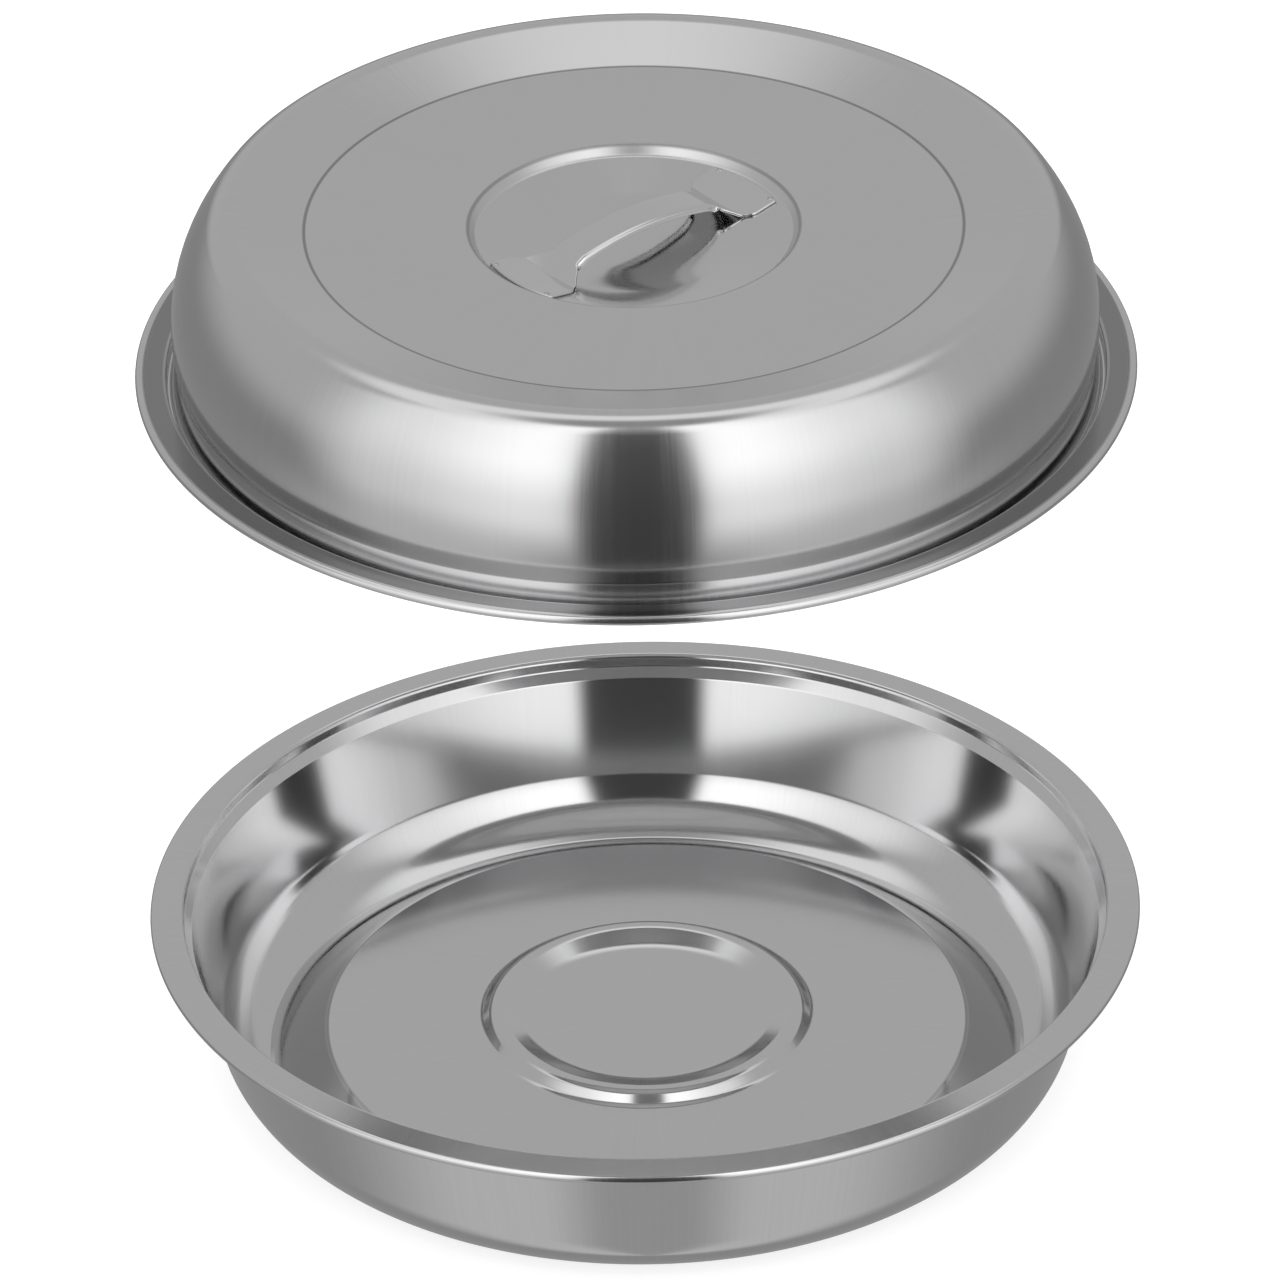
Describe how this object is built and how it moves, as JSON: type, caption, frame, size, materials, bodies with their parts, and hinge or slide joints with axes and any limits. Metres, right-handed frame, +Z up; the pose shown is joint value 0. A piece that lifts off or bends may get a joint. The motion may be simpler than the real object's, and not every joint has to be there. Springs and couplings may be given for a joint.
{
  "type": "lidded pan",
  "caption": "Round shallow steel pan with a raised floor ring and a loose domed lid that lifts by a strap handle in a finger recess.",
  "frame": {"origin": "middle of the pan's foot ring, on the surface that the pan stands on", "axes": "+Z up through the pan and lid, +X to the viewer's right, +Y away from the viewer"},
  "size_m": [0.3, 0.3, 0.293],
  "materials": {
    "pan_steel": "Bright drawn stainless steel: polished inside wall and ring, satin floor, and fine radial brushing on the flange.",
    "lid_steel": "Satin stainless steel on the top and shoulder, brighter on the wall, with faint upright drawing marks and a polished recess.",
    "handle_steel": "Polished pressed stainless strap with turned-down edges.",
    "weld_steel": "Small tack welds, left dull."
  },
  "bodies": {
    "pan": {"pan": "pan_steel"},
    "lid": {"lid": "lid_steel", "lid_handle": "handle_steel", "handle_welds": "weld_steel"}
  },
  "joints": [
    {"name": "lid_lift", "type": "slide", "parent": "pan", "child": "lid", "axis": [0, 0, 1], "range_m": [-0.186, 0]}
  ]
}
